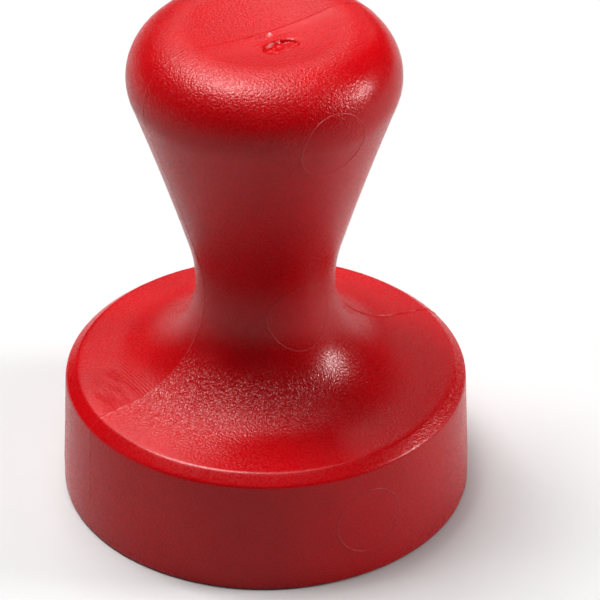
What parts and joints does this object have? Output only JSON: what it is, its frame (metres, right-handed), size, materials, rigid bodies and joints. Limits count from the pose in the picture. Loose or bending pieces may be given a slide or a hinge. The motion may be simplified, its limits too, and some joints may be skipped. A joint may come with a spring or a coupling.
{
  "type": "espresso tamper",
  "caption": "Moulded plastic espresso tamper with a mushroom handle, a waisted neck and a round bevelled base for a 58 mm filter basket.",
  "frame": {"origin": "centre of the tamping face, on the axis", "axes": "+Z along the axis from the tamping face up to the head; the body's mould parting plane is y = 0 and its ejector marks face -Y"},
  "size_m": [0.058, 0.058, 0.0741],
  "materials": {
    "body_plastic": "satin, finely spark-eroded moulding",
    "plate_plastic": "smooth satin, finely turned",
    "seal_rubber": "matt",
    "bar_steel": "bright drawn bar"
  },
  "bodies": {
    "root": {"tamper_body": "body_plastic", "tamping_plate": "plate_plastic", "plate_seal": "seal_rubber", "ballast_bar": "bar_steel"}
  },
  "joints": []
}
